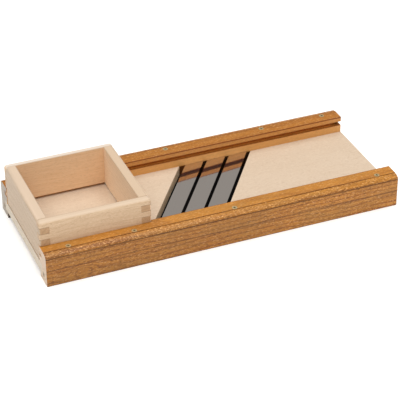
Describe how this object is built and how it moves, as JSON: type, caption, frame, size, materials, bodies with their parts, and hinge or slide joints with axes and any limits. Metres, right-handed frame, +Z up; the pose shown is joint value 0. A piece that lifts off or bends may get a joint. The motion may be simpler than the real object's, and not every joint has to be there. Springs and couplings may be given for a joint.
{
  "type": "cabbage cutter",
  "caption": "Wooden cabbage cutter: a flat channel between two moulded rails, slanted steel knives and an open box that slides along the rails.",
  "frame": {"origin": "centre of the footprint, on the surface that the rails stand on", "axes": "+X along the rails from the resting box to the run-out end, +Y from the front rail to the back rail, +Z up"},
  "size_m": [0.52, 0.21, 0.0862],
  "materials": {
    "stained_oak": "honey stained, open grained",
    "beech": "planed and untreated",
    "polished_steel": "mirror polished",
    "zinc_plate": "yellow zinc plate"
  },
  "bodies": {
    "frame": {"front_rail_base": "stained_oak", "front_rail_cap": "stained_oak", "back_rail_base": "stained_oak", "back_rail_cap": "stained_oak", "feed_board": "beech", "run_out_board": "beech", "blade_1": "polished_steel", "blade_2": "polished_steel", "blade_3": "polished_steel", "front_rail_screws": "zinc_plate", "back_rail_screws": "zinc_plate", "end_screws": "zinc_plate"},
    "box": {"box_front_wall": "beech", "box_back_wall": "beech", "box_left_wall": "beech", "box_right_wall": "beech", "front_runner": "beech", "back_runner": "beech"}
  },
  "joints": [
    {"name": "box_slide", "type": "slide", "parent": "frame", "child": "box", "axis": [1, 0, 0], "range_m": [0, 0.3616]}
  ]
}
